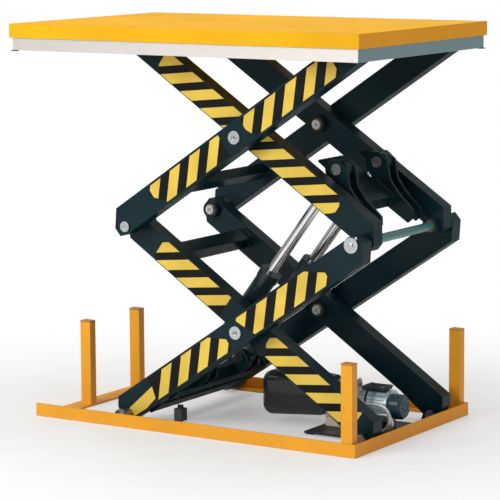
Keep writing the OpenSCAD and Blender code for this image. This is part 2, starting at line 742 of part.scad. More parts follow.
module bar_hanger_bolts() color(STEEL) for (p = hanger_places)
  translate([p[0], p[1], deck_z - 52]) {
    cylinder(h = 21.9, r = 4);
    cylinder(h = 6.9, r = 7, $fn = 6);
  }

module safety_bar() color(ALU) {
  // frame of L section: upright web and inward bottom flange
  difference() {
    translate([-bar_x, -bar_y, deck_z - bar_drop]) cube([2 * bar_x, 2 * bar_y, bar_h]);
    translate([bar_t - bar_x, bar_t - bar_y, deck_z - bar_drop + bar_t])
      cube([2 * (bar_x - bar_t), 2 * (bar_y - bar_t), bar_h]);
    translate([bar_flange_w - bar_x, bar_flange_w - bar_y, deck_z - bar_drop - 1])
      cube([2 * (bar_x - bar_flange_w), 2 * (bar_y - bar_flange_w), bar_h]);
  }
  // hanger tabs, reaching into the web
  for (p = hanger_places) difference() {
    translate([p[0] - 14, p[1] - (p[1] > 0 ? 10 : 11.5), deck_z - 45]) cube([28, 21.5, bar_t]);
    translate([p[0], p[1], deck_z - 46]) cylinder(h = 5, r = 5);
  }
}

module safety_bar_corners() color(BLACK) for (sx = [-1, 1], sy = [-1, 1])
  translate([sx * (bar_x - 5), sy * (bar_y - 5), 0])
    centred_block(18, 18, deck_z - bar_drop - 3.1, 3);

base_frame();
support_posts();
post_caps();
base_pivot_brackets();
base_pivot_pins();
power_pack_plate();
oil_tank();
oil_filler_cap();
manifold_block();
solenoid_valve();
lowering_button();
pump_housing();
motor_body();
motor_cowl();
motor_terminal_box();
pack_screws();
hydraulic_hoses();
hose_fittings();
limit_switch_body();
limit_switch_lever();
lower_inner_arms();
lower_inner_cross_tube();
lower_inner_bushes();
lower_inner_tape();
lower_outer_arms();
lower_outer_cross_tubes();
lower_outer_tape();
cylinder_saddles();
lower_centre_pins();
right_mid_shaft();
right_mid_washers();
lower_roller_axles();
lower_front_roller();
lower_rear_roller();
upper_outer_arms();
upper_outer_cross_tube();
upper_outer_tape();
upper_centre_pins();
left_mid_pins();
upper_inner_arms();
upper_inner_torsion_box();
upper_inner_bushes();
upper_inner_tape();
cylinder_upper_lugs();
cylinder_upper_pins();
upper_roller_axles();
upper_front_roller();
upper_rear_roller();
piston_rods();
rod_eyes();
cylinder_barrels();
cylinder_glands();
cylinder_base_eyes();
platform_deck();
platform_stiffeners();
platform_pivot_brackets();
platform_pivot_pins();
bar_hanger_bolts();
safety_bar();
safety_bar_corners();
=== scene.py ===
"""Double scissor lift table: looks, floor, lights and camera.

Metres, +Z up, floor at z = 0. The arms swing in the XZ plane and the front faces -Y.
The base pivots are at the right (+X), and front and rear sides mirror each other in y = 0.
"""
import bpy, bmesh, math, random
from mathutils import Vector, Matrix, noise


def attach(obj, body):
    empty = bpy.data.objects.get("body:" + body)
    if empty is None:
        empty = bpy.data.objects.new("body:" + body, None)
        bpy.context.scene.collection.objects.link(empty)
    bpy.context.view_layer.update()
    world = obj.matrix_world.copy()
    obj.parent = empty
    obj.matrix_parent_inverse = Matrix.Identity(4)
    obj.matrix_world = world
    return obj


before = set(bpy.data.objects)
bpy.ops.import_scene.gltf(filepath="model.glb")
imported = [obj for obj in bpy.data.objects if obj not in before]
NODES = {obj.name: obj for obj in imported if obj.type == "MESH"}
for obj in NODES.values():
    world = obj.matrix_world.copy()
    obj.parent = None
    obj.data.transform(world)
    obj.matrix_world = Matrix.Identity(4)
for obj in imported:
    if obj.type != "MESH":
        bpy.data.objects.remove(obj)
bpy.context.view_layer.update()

SCENE = bpy.context.scene
SIDES = (-1, 1)     # front, rear
random.seed(7)


# ---------------------------------------------------------------- shader graph
class Shader:
    """A material with a Principled surface, and short ways to add nodes to it."""

    def __init__(self, name):
        self.material = bpy.data.materials.new(name)
        self.material.use_nodes = True
        self.tree = self.material.node_tree
        self.tree.nodes.clear()
        self.output = self.add("OutputMaterial")
        self.bsdf = self.add("BsdfPrincipled")
        self.feed(self.output.inputs[0], self.bsdf.outputs[0])

    def feed(self, socket, value):
        """Links a socket to the input, or sets the input to a plain value."""
        if isinstance(value, bpy.types.NodeSocket):
            self.tree.links.new(value, socket)
        else:
            socket.default_value = value

    def add(self, kind, inputs=None, **settings):
        node = self.tree.nodes.new("ShaderNode" + kind)
        for key, value in settings.items():
            setattr(node, key, value)
        for key, value in (inputs or {}).items():
            self.feed(node.inputs[key], value)
        return node

    def surface(self, inputs):
        for key, value in inputs.items():
            self.feed(self.bsdf.inputs[key], value)
        return self.material

    def coords(self, scale=(1, 1, 1)):
        place = self.add("TexCoord").outputs["Object"]
        return self.add("Mapping", {"Scale": scale, "Vector": place}).outputs["Vector"]

    def noise(self, vector, scale, detail=4.0, rough=0.55, distortion=0.0):
        return self.add("TexNoise", {"Scale": scale, "Detail": detail, "Roughness": rough,
                                     "Distortion": distortion, "Vector": vector}).outputs["Fac"]

    def remap(self, value, span, to=(0.0, 1.0)):
        """Eases the value from one range to another."""
        inputs = dict(enumerate((value, *span, *to)))
        return self.add("MapRange", inputs, interpolation_type="SMOOTHSTEP").outputs[0]

    def math(self, operation, *values, clamp=False):
        inputs = dict(enumerate(values))
        return self.add("Math", inputs, operation=operation, use_clamp=clamp).outputs[0]

    def mul(self, first, second, clamp=False):
        return self.math("MULTIPLY", first, second, clamp=clamp)

    def mix(self, amount, first, second):
        """Blends two colours, each a socket or an (r, g, b) tuple."""
        first, second = ((*c, 1) if isinstance(c, tuple) else c for c in (first, second))
        return self.add("Mix", {0: amount, 6: first, 7: second}, data_type="RGBA").outputs[2]

    def soft_normal(self, radius):
        """The normal with edges rounded to the radius."""
        return self.add("Bevel", {"Radius": radius}, samples=4).outputs[0]

    def edge_mask(self, soft):
        """1 on convex and concave edges, 0 on flats."""
        flat = self.add("NewGeometry").outputs["Normal"]
        dot = self.add("VectorMath", {0: soft, 1: flat}, operation="DOT_PRODUCT")
        return self.remap(dot.outputs["Value"], span=(0.86, 0.995), to=(1.0, 0.0))

    def normal_axes(self):
        normal = self.add("NewGeometry").outputs["Normal"]
        return self.add("SeparateXYZ", {0: normal}).outputs

    def side_shade_mask(self, axes):
        """1 on faces that look along X; it places the painted side shade."""
        return self.remap(self.math("ABSOLUTE", axes[0]), span=(0.55, 0.9))

    def bump(self, height, strength, distance, normal=None):
        inputs = {"Strength": strength, "Distance": distance, "Height": height}
        if normal is not None:
            inputs["Normal"] = normal
        return self.add("Bump", inputs).outputs[0]


def shade(color, factor, lift=0):
    return tuple(min(1, c * factor + lift) for c in color)


# ------------------------------------------------------------------- materials
# edge: radius of the softened edges. coat: clear coat weight. side_shade_color: painted shade
# blended onto faces that look along X.
def paint(name, color, rough=0.38, wear_color=(0.30, 0.29, 0.27), wear=0.5, peel=0.10,
          vary=0.10, dust=0.12, dust_color=(0.45, 0.40, 0.33), coat=0.25, edge=0.0018,
          specular=0.3, side_shade_color=None):
    """Enamel with orange peel, chipped edges (wear), dust on top, and, with side_shade_color,
    painted shade on faces that look along X.
    """
    mat = Shader(name)
    place = mat.coords()
    soft = mat.soft_normal(edge)
    edges = mat.edge_mask(soft)
    broad = mat.noise(place, scale=3.1, detail=3, rough=0.5)
    mottle = mat.noise(place, scale=27, detail=5, rough=0.62)
    fine = mat.noise(place, scale=420, detail=2, rough=0.5)
    chips = mat.noise(place, scale=140, detail=4, rough=0.7)
    tint = mat.mix(mat.remap(broad, span=(0.32, 0.68)),
                   shade(color, 1 - vary), shade(color, 1 + vary))
    mottle_amount = mat.mul(mat.remap(mottle, span=(0.45, 0.75)), 0.35)
    tint = mat.mix(mottle_amount, tint, shade(color, 0.82))

    # dust settles on faces that look up
    axes = mat.normal_axes()
    upward = mat.remap(axes[2], span=(0.35, 1.0))
    dusty = mat.mul(mat.mul(upward, mat.remap(mottle, span=(0.35, 0.7))), dust)
    tint = mat.mix(dusty, tint, dust_color)
    # painted shade: faces that look along X are blended towards side_shade_color
    if side_shade_color:
        tint = mat.mix(mat.mul(mat.side_shade_mask(axes), 0.75), tint, side_shade_color)

    # paint chipped off along edges
    worn = mat.mul(mat.mul(edges, mat.remap(chips, span=(0.52, 0.60))), wear, clamp=True)
    gloss = mat.remap(mottle, span=(0.3, 0.7), to=(rough - 0.05, rough + 0.09))
    matt = mat.mul(mat.math("ADD", worn, dusty), 0.3)
    height = mat.math("SUBTRACT", fine, mat.mul(worn, 1.5))
    # faces that look down reflect less
    shine = mat.remap(axes[2], span=(-0.75, -0.15), to=(0.04, 1.0))
    return mat.surface({
        "Base Color": mat.mix(worn, tint, wear_color),
        "Roughness": mat.math("ADD", gloss, matt),
        "Normal": mat.bump(height, strength=peel, distance=0.0006, normal=soft),
        "Coat Weight": coat,
        "Specular IOR Level": mat.mul(shine, specular),
        "Coat Roughness": 0.16})


def metal(name, color, rough=0.28, brush=(1, 1, 1), brush_scale=300, depth=0.12, stain=0.25,
          metallic=1.0, edge=0.0009, stain_color=(0.20, 0.17, 0.13), side_shade_color=None):
    """Metal with a grain stretched by brush, bumped by depth, stains, and, with
    side_shade_color, painted shade on faces that look along X.
    """
    mat = Shader(name)
    place = mat.coords()
    brushed = mat.coords(brush)
    soft = mat.soft_normal(edge)
    grain = mat.noise(brushed, scale=brush_scale, detail=4, rough=0.6)
    broad = mat.noise(place, scale=14, detail=4, rough=0.6)
    spots = mat.noise(place, scale=95, detail=5, rough=0.7)
    tint = mat.mix(mat.remap(grain, span=(0.3, 0.7)), shade(color, 0.86), color)
    patches = mat.mul(mat.remap(broad, span=(0.48, 0.72)), mat.remap(spots, span=(0.46, 0.7)))
    stained = mat.mul(patches, stain)
    tint = mat.mix(stained, tint, stain_color)
    # painted shade and dark reflection: faces that look along X take side_shade_color
    if side_shade_color:
        tint = mat.mix(mat.side_shade_mask(mat.normal_axes()), tint, side_shade_color)
    gloss = mat.remap(grain, span=(0.25, 0.75), to=(rough - 0.07, rough + 0.08))
    return mat.surface({
        "Base Color": tint,
        "Metallic": metallic,
        "Roughness": mat.math("ADD", gloss, mat.mul(stained, 0.6)),
        "Normal": mat.bump(grain, strength=depth, distance=0.0002, normal=soft)})


def plastic(name, color, rough=0.5, grain=700, depth=0.2, scuff=0.25, scuff_color=None,
            edge=0.0015, coat=0.0):
    """Moulded plastic: grain is the texture's scale, depth its bump, scuff the scratches."""
    mat = Shader(name)
    place = mat.coords()
    soft = mat.soft_normal(edge)
    edges = mat.edge_mask(soft)
    pores = mat.noise(place, scale=grain, detail=2, rough=0.5)
    broad = mat.noise(place, scale=9, detail=4, rough=0.6)
    scratches = mat.noise(mat.coords((1, 1, 9)), scale=60, detail=6, rough=0.75,
                          distortion=0.6)
    tint = mat.mix(mat.remap(broad, span=(0.35, 0.7)), shade(color, 0.85), shade(color, 1.12))
    marks = mat.math("ADD", mat.mul(edges, 0.8), mat.remap(scratches, span=(0.62, 0.74)))
    scuffed = mat.mul(marks, scuff, clamp=True)
    return mat.surface({
        "Base Color": mat.mix(scuffed, tint, scuff_color or shade(color, 2.2, lift=0.03)),
        "Roughness": mat.remap(broad, span=(0.3, 0.7), to=(rough - 0.06, rough + 0.08)),
        "Normal": mat.bump(pores, strength=depth, distance=0.0003, normal=soft),
        "Coat Weight": coat})


def tape(name, color, dirt=0.30, dirt_color=(0.20, 0.14, 0.05), specular=0.3, coat=0.1):
    """Wrinkled adhesive tape with dirty streaks and edges."""
    mat = Shader(name)
    place = mat.coords()
    soft = mat.soft_normal(0.0006)
    edges = mat.edge_mask(soft)
    wrinkles = mat.noise(mat.coords(), scale=34, detail=5, rough=0.65, distortion=0.8)
    streaks = mat.noise(mat.coords((1, 1, 5)), scale=75, detail=6, rough=0.78, distortion=1.2)
    broad = mat.noise(place, scale=7, detail=3, rough=0.5)
    tint = mat.mix(mat.remap(broad, span=(0.35, 0.65)), shade(color, 0.90), shade(color, 1.06))
    tint = mat.mix(mat.mul(mat.remap(streaks, span=(0.58, 0.72)), dirt), tint, dirt_color)
    return mat.surface({
        "Base Color": mat.mix(mat.mul(edges, dirt), tint, dirt_color),
        "Roughness": mat.remap(wrinkles, span=(0.3, 0.7), to=(0.28, 0.46)),
        "Normal": mat.bump(wrinkles, strength=0.18, distance=0.0006, normal=soft),
        "Coat Weight": coat,
        "Specular IOR Level": specular})


def braid(name):
    """Braided steel sleeve: two sets of waves that cross."""
    mat = Shader(name)
    place = mat.add("TexCoord").outputs["Object"]
    strands = []
    for turn in (1, -1):
        rotation = (0.5 * turn, 0.7 * turn, 0.785 * turn)
        turned_place = mat.add("Mapping", {"Rotation": rotation, "Vector": place}).outputs[0]
        wave = mat.add("TexWave", {"Scale": 150, "Distortion": 0.4, "Vector": turned_place},
                       wave_type="BANDS", bands_direction="X")
        strands.append(wave.outputs["Fac"])
    height = mat.math("MAXIMUM", *strands)
    return mat.surface({
        "Base Color": mat.mix(height, (0.22, 0.23, 0.24), (0.78, 0.80, 0.82)),
        "Metallic": 0.9,
        "Roughness": mat.remap(height, span=(0, 1), to=(0.55, 0.28)),
        "Normal": mat.bump(height, strength=0.6, distance=0.0008)})


# side_shade_color is painted shade: a darker orange on the faces that look along X
yellow = paint(
    "yellow_powder_coat", (0.86, 0.385, 0.026), rough=0.46, wear_color=(0.30, 0.24, 0.16),
    wear=0.55, peel=0.16, vary=0.06, dust=0.10, dust_color=(0.62, 0.42, 0.16), coat=0.05,
    edge=0.0022, specular=0.18, side_shade_color=(0.80, 0.31, 0.030))
# side_shade_color is painted shade: a darker orange on the deck's faces that look along X
deck_yellow = paint(
    "deck_yellow_coat", (0.88, 0.445, 0.012), rough=0.58, wear_color=(0.35, 0.28, 0.18),
    wear=0.40, peel=0.20, vary=0.05, dust=0.06, dust_color=(0.66, 0.46, 0.20), coat=0.0,
    edge=0.0030, specular=0.06, side_shade_color=(0.90, 0.36, 0.034))
amber = plastic("post_cap_amber_plastic", (0.60, 0.215, 0.024), rough=0.42, grain=600,
                depth=0.15, scuff=0.12, scuff_color=(0.62, 0.30, 0.08), edge=0.0012, coat=0.1)
arm_dark = paint(
    "arm_dark_enamel", (0.0026, 0.0175, 0.0235), rough=0.34, wear_color=(0.10, 0.11, 0.11),
    wear=0.30, peel=0.14, vary=0.26, dust=0.040, dust_color=(0.06, 0.080, 0.080), coat=0.10,
    edge=0.0026, specular=0.12)
shaft_teal = paint(
    "shaft_teal_enamel", (0.055, 0.185, 0.200), rough=0.28, wear_color=(0.35, 0.36, 0.36),
    wear=0.4, peel=0.06, vary=0.12, dust=0.05, dust_color=(0.2, 0.22, 0.2), coat=0.4,
    edge=0.0012, specular=0.4)
barrel_black = paint(
    "cylinder_black_enamel", (0.009, 0.022, 0.027), rough=0.32, wear_color=(0.18, 0.18, 0.18),
    wear=0.35, vary=0.2, dust=0.08, dust_color=(0.11, 0.11, 0.10), coat=0.4, edge=0.0014)
plate_black = paint(
    "plate_black_enamel", (0.012, 0.012, 0.014), rough=0.48, wear_color=(0.22, 0.17, 0.12),
    wear=0.45, peel=0.18, vary=0.2, dust=0.22, dust_color=(0.16, 0.14, 0.11), coat=0.1,
    edge=0.0016)
cream = paint(
    "casting_pale_primer", (0.66, 0.56, 0.44), rough=0.58, wear_color=(0.30, 0.27, 0.22),
    wear=0.45, peel=0.55, dust=0.18, dust_color=(0.36, 0.30, 0.22), coat=0.0, edge=0.003)
cowl_teal = paint(
    "cowl_blue_green_enamel", (0.006, 0.038, 0.052), rough=0.34, wear_color=(0.20, 0.20, 0.20),
    wear=0.40, peel=0.12, vary=0.15, dust_color=(0.16, 0.16, 0.14), coat=0.35, edge=0.0016)
zinc = metal("zinc_plated_steel", (0.58, 0.60, 0.62), rough=0.30, brush_scale=260, depth=0.10,
             stain=0.30)
turned_steel = metal("turned_roller_steel", (0.24, 0.245, 0.25), rough=0.38, brush=(1, 14, 1),
                     brush_scale=90, depth=0.25, stain=0.40)
chrome = metal("hard_chrome", (0.80, 0.82, 0.84), rough=0.13, brush_scale=500, depth=0.03,
               stain=0.05, edge=0.0008)
bronze = metal("sintered_bronze", (0.26, 0.18, 0.09), rough=0.42, brush_scale=420, depth=0.30,
               stain=0.45, edge=0.0006, stain_color=(0.10, 0.07, 0.03))
cast_alu = metal("die_cast_aluminium", (0.56, 0.66, 0.69), rough=0.42, brush_scale=340,
                 depth=0.45, stain=0.35, metallic=0.85, edge=0.0018,
                 stain_color=(0.12, 0.19, 0.20))
# side_shade_color is a painted teal-grey shade and dark reflection on the bar's X-facing sides
bar_alu = metal("anodised_bar", (0.94, 0.885, 0.83), rough=0.34, brush=(22, 22, 1),
                brush_scale=60, depth=0.16, stain=0.12, metallic=0.85, edge=0.0008,
                stain_color=(0.35, 0.33, 0.32), side_shade_color=(0.30, 0.43, 0.45))
black = plastic("moulded_black_plastic", (0.012, 0.018, 0.021), rough=0.40, grain=600,
                depth=0.22, scuff=0.20, scuff_color=(0.06, 0.07, 0.075))
tank = plastic("tank_moulded_polymer", (0.009, 0.017, 0.021), rough=0.30, grain=420,
               depth=0.14, scuff=0.16, scuff_color=(0.05, 0.07, 0.08), edge=0.003, coat=0.25)
rubber = plastic("black_rubber", (0.010, 0.010, 0.010), rough=0.72, grain=500, depth=0.4,
                 scuff=0.15, scuff_color=(0.05, 0.05, 0.05))
red = plastic("red_button_plastic", (0.50, 0.015, 0.012), rough=0.32, grain=500, depth=0.08,
              scuff=0.12, scuff_color=(0.7, 0.2, 0.18), edge=0.001, coat=0.4)
tape_yellow = tape("hazard_tape_yellow", (0.80, 0.555, 0.075))
tape_black = tape("hazard_tape_black", (0.0045, 0.0060, 0.0050), dirt=0.10,
                  dirt_color=(0.06, 0.06, 0.05), specular=0.14, coat=0.0)
weld_dark = metal("painted_weld_dark", (0.016, 0.035, 0.040), rough=0.42, brush_scale=240,
                  depth=0.5, stain=0.3, metallic=0.15, edge=0.0005)
weld_yellow = paint(
    "painted_weld_yellow", (0.84, 0.40, 0.020), rough=0.42, wear_color=(0.30, 0.24, 0.16),
    wear=0.3, peel=0.4, vary=0.08, dust=0.1, dust_color=(0.6, 0.4, 0.15), coat=0.15,
    edge=0.0006)
hose_braid = braid("braided_steel_hose")

# material, CAD pieces it covers
COVERAGE = [
    (deck_yellow, "platform_deck"),
    (yellow, "base_frame support_posts platform_stiffeners platform_pivot_brackets"),
    (arm_dark, "base_pivot_brackets lower_inner_arms lower_inner_cross_tube "
               "lower_outer_arms lower_outer_cross_tubes cylinder_saddles "
               "upper_outer_arms upper_outer_cross_tube upper_inner_arms "
               "upper_inner_torsion_box cylinder_upper_lugs rod_eyes cylinder_base_eyes"),
    (tape_yellow, "lower_inner_tape lower_outer_tape upper_outer_tape upper_inner_tape"),
    (zinc, "base_pivot_pins lower_centre_pins right_mid_washers lower_roller_axles "
           "upper_centre_pins left_mid_pins upper_roller_axles platform_pivot_pins "
           "bar_hanger_bolts pack_screws hose_fittings"),
    (turned_steel, "cylinder_upper_pins lower_front_roller lower_rear_roller "
                   "upper_front_roller upper_rear_roller"),
    (chrome, "piston_rods"),
    (shaft_teal, "right_mid_shaft"),
    (barrel_black, "cylinder_barrels cylinder_glands"),
    (bronze, "lower_inner_bushes upper_inner_bushes"),
    (cast_alu, "manifold_block motor_body"),
    (bar_alu, "safety_bar"),
    (tank, "oil_tank"),
    (black, "oil_filler_cap solenoid_valve motor_terminal_box limit_switch_body "
            "safety_bar_corners"),
    (amber, "post_caps"),
    (plate_black, "power_pack_plate limit_switch_lever"),
    (cream, "pump_housing"),
    (cowl_teal, "motor_cowl"),
    (hose_braid, "hydraulic_hoses"),
    (red, "lowering_button"),
]
bare = set(NODES)
for material, names in COVERAGE:
    for name in names.split():
        NODES[name].data.materials.clear()
        NODES[name].data.materials.append(material)
        bare.discard(name)
if bare:
    raise RuntimeError(f"nodes without a material: {sorted(bare)}")

# ---------------------------------------------------------- scissor mechanism
ARM_LENGTH = 1.040              # between end pivots
ARM_ANGLE = math.radians(36.2)
HALF_ARM = ARM_LENGTH / 2
RIGHT_X = 0.570                 # right-hand pivots
BASE_PIVOT_Z = 0.030
CENTRE_X = RIGHT_X - HALF_ARM * math.cos(ARM_ANGLE)


def arm_frame(half_rises, angle):
    """An arm's own frame at its centre pin: local x along the arm, local z across it."""
    z = BASE_PIVOT_Z + half_rises * HALF_ARM * math.sin(ARM_ANGLE)
    return Matrix.Translation((CENTRE_X, 0, z)) @ Matrix.Rotation(-angle, 4, "Y")


LOWER_OUTER = arm_frame(1, ARM_ANGLE)
LOWER_INNER = arm_frame(1, -ARM_ANGLE)
UPPER_OUTER = arm_frame(3, ARM_ANGLE)
UPPER_INNER = arm_frame(3, -ARM_ANGLE)


# --------------------------------------------------------------- mesh builders
def link_object(name, data):
    item = bpy.data.objects.new(name, data)
    SCENE.collection.objects.link(item)
    return item


def add_piece(name, bm, material, body, smooth=True):
    bmesh.ops.recalc_face_normals(bm, faces=bm.faces)
    mesh = bpy.data.meshes.new(name)
    bm.normal_update()
    bm.to_mesh(mesh)
    bm.free()
    if smooth:
        for face in mesh.polygons:
            face.use_smooth = True
    mesh.materials.append(material)
    item = link_object(name, mesh)
    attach(item, body)


def bridge(bm, first, second):
    count = len(first)
    for i in range(count):
        j = (i + 1) % count
        bm.faces.new((first[i], first[j], second[j], second[i]))


def sweep(bm, points, radius, sides):
    """A capped round tube; radius is a number or a function of the point's index."""
    points = [Vector(p) for p in points]
    start = (points[1] - points[0]).normalized()
    reference = Vector((0, 0, 1)) if abs(start.z) < 0.9 else Vector((1, 0, 0))
    across = start.cross(reference).normalized()
    rings = []
    for i, centre in enumerate(points):
        before = points[max(i - 1, 0)]
        after = points[min(i + 1, len(points) - 1)]
        along = (after - before).normalized()
        across = (across - along * across.dot(along)).normalized()
        other = along.cross(across)
        r = radius(i) if callable(radius) else radius
        rings.append([])
        for k in range(sides):
            turn = 2 * math.pi * k / sides
            point = centre + across * (r * math.cos(turn)) + other * (r * math.sin(turn))
            rings[-1].append(bm.verts.new(point))
    for first, second in zip(rings, rings[1:]):
        bridge(bm, first, second)
    bm.faces.new(list(reversed(rings[0])))
    bm.faces.new(rings[-1])


def weld_bead(bm, start, end, radius=0.003, seed=0):
    """A rippled bead between two points, tapered at both ends."""
    start, end = Vector(start), Vector(end)
    steps = max(6, int((end - start).length / 0.0022))

    def bead_radius(i):
        wobble = noise.noise(Vector((i * 0.37, seed, 0)))
        ripple = 0.80 + 0.20 * math.sin(i * 1.9 + seed) + 0.10 * wobble
        taper = {0: 0.35, 1: 0.8}.get(min(i, steps - i), 1)
        return radius * ripple * taper

    sweep(bm, [start.lerp(end, i / steps) for i in range(steps + 1)], bead_radius, sides=7)


def weld_rectangle(bm, arm, x0, x1, z0, z1, y, seed):
    """Bead round a rectangular foot at distance y, in an arm's frame."""
    corners = [arm @ Vector(c) for c in ((x0, y, z0), (x1, y, z0), (x1, y, z1), (x0, y, z1))]
    for i in range(4):
        weld_bead(bm, corners[i], corners[(i + 1) % 4], seed=seed + i)


def lathe(bm, profile, place, segments):
    """Turns (radius, y) pairs about the local Y axis; the first and last may lie on it."""
    rings = []
    for radius, y in profile:
        if radius < 1e-6:
            rings.append([bm.verts.new(place @ Vector((0, y, 0)))])
            continue
        turns = [2 * math.pi * i / segments for i in range(segments)]
        rings.append([bm.verts.new(place @ Vector((radius * math.cos(turn), y,
                                                   radius * math.sin(turn))))
                      for turn in turns])
    for first, second in zip(rings, rings[1:]):
        if len(first) > 1 and len(second) > 1:
            bridge(bm, first, second)
            continue
        for i in range(segments):
            j = (i + 1) % segments
            if len(first) == 1:
                bm.faces.new((first[0], second[j], second[i]))
            else:
                bm.faces.new((first[i], first[j], second[0]))


def turned(name, profile, places, segments, body, material=zinc):
    bm = bmesh.new()
    for place in places:
        lathe(bm, profile, place, segments)
    add_piece(name, bm, material, body)


def plate(bm, outline, arm, y0, y1):
    """A flat plate: outline in local x and z, between y0 and y1."""
    low = [bm.verts.new(arm @ Vector((x, y0, z))) for x, z in outline]
    high = [bm.verts.new(arm @ Vector((x, y1, z))) for x, z in outline]
    bm.faces.new(low)
    bm.faces.new(list(reversed(high)))
    count = len(outline)
    for i in range(count):
        j = (i + 1) % count
        bm.faces.new((low[j], low[i], high[i], high[j]))


# ------------------------------------------------- black film under the stripes
# centre: local z of the tape's middle line at x = 0; slope: its rise along x
INNER_TAPE = dict(half_width=0.039, centre=0.010, slope=0.04, face_y=0.252)
OUTER_TAPE = dict(half_width=0.038, centre=0, slope=-0.04, face_y=0.317)
SQUARE = (0, 0)
# body, arm frame, tape, then per band: start x, end x, and the (x, z) cut off each corner,
# in the order low start, low end, high end, high start
FILMS = [
    ("lower_inner", LOWER_INNER, INNER_TAPE, [
        (-0.408, -0.105, [(0.010, 0.012), SQUARE, SQUARE, (0.014, 0.016)]),
        (0.080, 0.470, [(0.024, 0.039), SQUARE, SQUARE, (0.006, 0.010)])]),
    ("lower_outer", LOWER_OUTER, OUTER_TAPE, [
        (-0.384, -0.043, [SQUARE, SQUARE, (0.056, 0.038), SQUARE]),
        (0.024, 0.391, [(0.036, 0.066), (0.012, 0.014), (0.062, 0.040), SQUARE])]),
    ("upper_outer", UPPER_OUTER, OUTER_TAPE, [
        (-0.368, -0.047, [(0.036, 0.038), SQUARE, SQUARE, SQUARE]),
        (0.050, 0.430, [(0.020, 0.036), SQUARE, (0.030, 0.024), SQUARE])]),
    ("upper_inner", UPPER_INNER, INNER_TAPE, [
        (-0.388, -0.031, [(0.016, 0.024), SQUARE, SQUARE, (0.016, 0.020)]),
        (0.044, 0.391, [SQUARE, (0.022, 0.028), (0.020, 0.026), SQUARE])]),
]


def band_outline(start, end, cuts, half_width, centre, slope):
    """Outline of a band; the two points of a square corner are merged."""
    low_start, low_end, high_end, high_start = cuts
    points = [(start + low_start[0], -half_width), (end - low_end[0], -half_width),
              (end, low_end[1] - half_width), (end, half_width - high_end[1]),
              (end - high_end[0], half_width), (start + high_start[0], half_width),
              (start, half_width - high_start[1]), (start, low_start[1] - half_width)]
    outline = []
    for x, across in points:
        z = across + centre + slope * x
        if all(abs(x - u) + abs(z - w) > 1e-5 for u, w in outline[:1] + outline[-1:]):
            outline.append((x, z))
    return outline


def tape_film(body, arm, bands, half_width, centre, slope, face_y):
    bm = bmesh.new()
    for start, end, cuts in bands:
        outline = band_outline(start, end, cuts, half_width, centre, slope)
        for side in SIDES:
            plate(bm, outline, arm,
                  *sorted((side * (face_y - 0.0001), side * (face_y + 0.00025))))
    add_piece(body + "_tape_film", bm, tape_black, body, smooth=False)


for body, arm, tape_sizes, bands in FILMS:
    tape_film(body, arm, bands, **tape_sizes)

# ----------------------------------------------------------------- weld beads
# body, arm frame, distance of the bead from y = 0, feet as (x0, x1, z0, z1, seed)
WELDED_FEET = [
    ("lower_outer", LOWER_OUTER, 0.2612, [(-0.475, -0.425, -0.030, 0.014, 1),
                                          (-0.385, -0.335, -0.034, 0.006, 5)]),
    ("upper_outer", UPPER_OUTER, 0.2612, [(-0.337, -0.287, -0.006, 0.028, 2)]),
    ("lower_inner", LOWER_INNER, 0.1962, [(-0.389, -0.339, -0.020, 0.024, 3)]),
    ("upper_inner", UPPER_INNER, 0.1962, [(-0.465, -0.415, -0.010, 0.024, 4),
                                          (0.305, 0.395, -0.010, 0.034, 9)]),
]


def lug_welds(bm, arm, side):
    """Beads over the top and down the end, at both faces of two lugs."""
    for y in (0.096, 0.107, 0.147, 0.158):
        for x0, z0, x1, z1 in ((0.306, 0.0345, 0.394, 0.0345), (0.3955, 0.033, 0.3955, -0.009)):
            weld_bead(bm, arm @ Vector((x0, side * y, z0)), arm @ Vector((x1, side * y, z1)),
                      radius=0.0028, seed=y)


for body, arm, face_y, feet in WELDED_FEET:
    bm = bmesh.new()
    for side in SIDES:
        for *foot, seed in feet:
            weld_rectangle(bm, arm, *foot, side * face_y, seed)
        if body == "upper_inner":
            lug_welds(bm, arm, side)
    add_piece(body + "_welds", bm, weld_dark, body)

FRAME_TOP = 0.0055
POSTS = ((0.580, 0.3495), (-0.552, 0.142))      # x and distance from y = 0
POST_HALF_X, POST_HALF_Y = 0.020, 0.015


def base_welds():
    bm = bmesh.new()
    for post_x, post_y in POSTS:
        for side in SIDES:
            x0, x1 = post_x - POST_HALF_X, post_x + POST_HALF_X
            y0, y1 = side * post_y - POST_HALF_Y, side * post_y + POST_HALF_Y
            for ax, ay, bx, by in ((x0, y0, x1, y0), (x0, y1, x1, y1),
                                   (x0, y0, x0, y1), (x1, y0, x1, y1)):
                weld_bead(bm, (ax, ay, FRAME_TOP), (bx, by, FRAME_TOP),
                          radius=0.0028, seed=post_x + ax)
    for side in SIDES:
        # feet of the hinge brackets, then the upright corner of the frame
        for y in (0.184, 0.194, 0.255, 0.265):
            weld_bead(bm, (0.538, side * y, FRAME_TOP), (0.602, side * y, FRAME_TOP),
                      radius=0.0026, seed=y)
        weld_bead(bm, (0.5995, side * 0.3635, 0.008), (0.5995, side * 0.3635, 0.040),
                  radius=0.0022, seed=side)
    add_piece("base_welds", bm, weld_yellow, "base")


base_welds()


# ---------------------------------------------------------- pin and shaft ends
def pin_ends(arm, x, y, z=0):
    """Front and rear places facing outward, or inward where y is negative."""
    return [arm @ Matrix.Translation((x, -y, z)) @ Matrix.Rotation(math.pi, 4, "Z"),
            arm @ Matrix.Translation((x, y, z))]


# profiles are (radius, distance outward)
NIPPLE = [(0, -0.0024), (0.0042, -0.0024), (0.0042, 0.0002), (0.0026, 0.0006),
          (0.0026, 0.0026), (0.0018, 0.0034), (0.0022, 0.0046), (0.0014, 0.0056), (0, 0.0058)]
